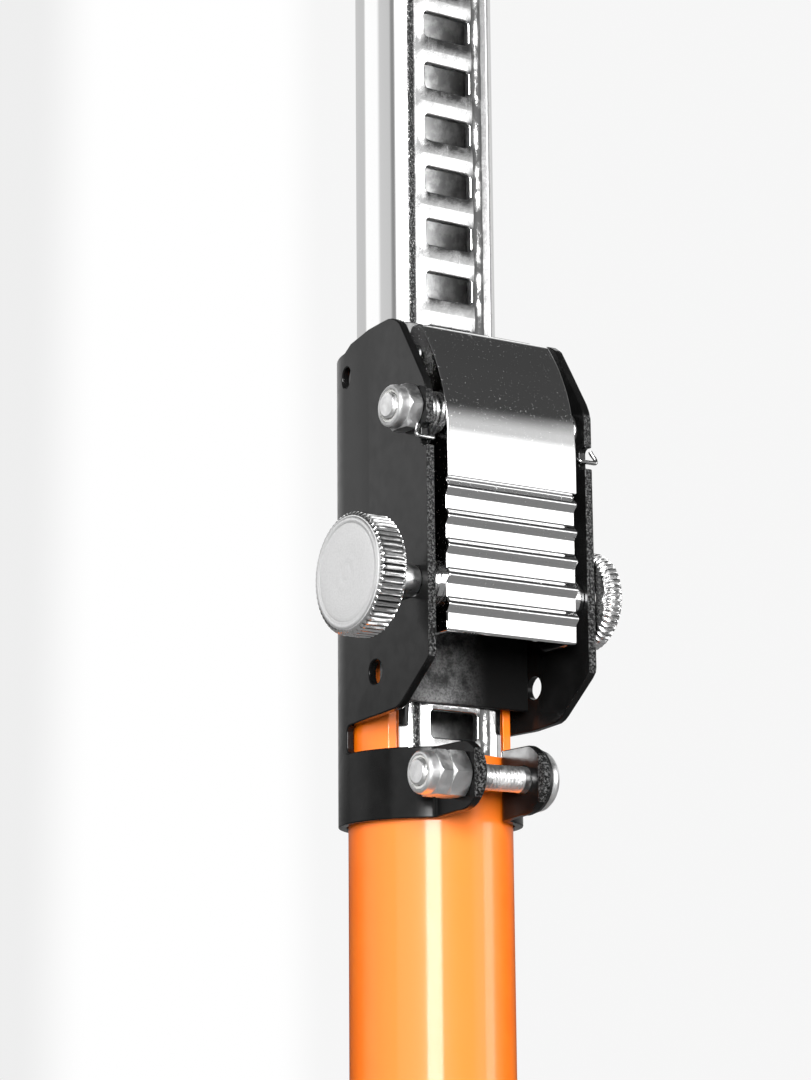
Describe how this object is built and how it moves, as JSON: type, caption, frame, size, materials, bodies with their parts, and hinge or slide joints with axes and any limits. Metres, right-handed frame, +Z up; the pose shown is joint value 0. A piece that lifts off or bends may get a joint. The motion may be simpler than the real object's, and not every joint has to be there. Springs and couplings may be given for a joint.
{
  "type": "telescoping pole saw",
  "caption": "Telescoping pole saw: a slotted inner pole slides in a tube handle, held by a spring latch lever and lock screw, and carries a curved pull saw.",
  "frame": {"origin": "centre of the butt cap's end face, on the pole's axis", "axes": "+Z up the pole towards the blade; -Y is the front, where the latch lever is; +X is the right-hand side, where the knurled nut is"},
  "size_m": [0.0679, 0.131, 1.4542],
  "materials": {
    "outer_tube": "glossy orange powder coat",
    "butt_cap": "matte moulded rubber",
    "hand_grip": "matte ribbed rubber",
    "lock_housing": "satin black powder coat on folded sheet steel",
    "guide_plate": "rough worn black paint",
    "clamp_bolt": "zinc plated",
    "clamp_washer": "black oxide",
    "clamp_nut": "zinc plated",
    "clamp_lock_nut": "zinc plated with a nylon collar insert",
    "pivot_bolt": "zinc plated",
    "pivot_nut": "zinc plated with a nylon collar insert",
    "left_spring": "drawn spring wire",
    "right_spring": "drawn spring wire",
    "latch_lever": "polished and lightly brushed stainless",
    "pawl": "hardened steel",
    "pawl_rivets": "plain steel",
    "lock_spacers": "zinc plated",
    "lock_nut": "zinc plated and knurled",
    "retaining_ring": "dark spring steel",
    "lock_screw": "turned and knurled, zinc plated",
    "inner_pole": "polished",
    "slider_bush": "moulded acetal",
    "head_socket": "satin black die casting",
    "head_bolt": "zinc plated",
    "head_nut": "zinc plated with a nylon collar insert",
    "saw_blade": "ground high-carbon steel",
    "blade_bolts": "zinc plated",
    "blade_washers": "zinc plated",
    "blade_nuts": "zinc plated with a nylon collar insert"
  },
  "bodies": {
    "handle": {"outer_tube": "outer_tube", "butt_cap": "butt_cap", "hand_grip": "hand_grip", "lock_housing": "lock_housing", "guide_plate": "guide_plate", "clamp_bolt": "clamp_bolt", "clamp_washer": "clamp_washer", "clamp_nut": "clamp_nut", "clamp_lock_nut": "clamp_lock_nut", "pivot_bolt": "pivot_bolt", "pivot_nut": "pivot_nut", "left_spring": "left_spring", "right_spring": "right_spring"},
    "latch": {"latch_lever": "latch_lever", "pawl": "pawl", "pawl_rivets": "pawl_rivets", "lock_spacers": "lock_spacers"},
    "lock_nut": {"lock_nut": "lock_nut"},
    "retaining_ring": {"retaining_ring": "retaining_ring"},
    "lock_screw": {"lock_screw": "lock_screw"},
    "pole": {"inner_pole": "inner_pole", "slider_bush": "slider_bush", "head_socket": "head_socket", "head_bolt": "head_bolt", "head_nut": "head_nut", "saw_blade": "saw_blade", "blade_bolts": "blade_bolts", "blade_washers": "blade_washers", "blade_nuts": "blade_nuts"}
  },
  "joints": [
    {"name": "pole_slide", "type": "slide", "parent": "handle", "child": "pole", "axis": [0, 0, 1], "range_m": [0, 0.54835]},
    {"name": "lever_rock", "type": "hinge", "parent": "handle", "child": "latch", "pos_m": [0, -0.0272, 0.8246], "axis": [1, 0, 0], "range_deg": [0, 8], "stiffness_Nm_per_rad": 1.5, "springref_deg": -20.05, "deforming": ["left_spring", "right_spring"]},
    {"name": "lock_nut_turn", "type": "hinge", "parent": "latch", "child": "lock_nut", "pos_m": [0, -0.0275, 0.7851], "axis": [1, 0, 0], "continuous": true},
    {"name": "ring_slide", "type": "slide", "parent": "lock_nut", "child": "retaining_ring", "axis": [1, 0, 0], "range_m": [-0.0031, 0]},
    {"name": "screw_turn", "type": "hinge", "parent": "retaining_ring", "child": "lock_screw", "pos_m": [0, -0.0275, 0.7851], "axis": [1, 0, 0], "range_deg": [-1116, 0]}
  ],
  "couplings": [
    {"joint": "screw_turn", "follows": "ring_slide", "rad_per_m": 6283.2}
  ]
}
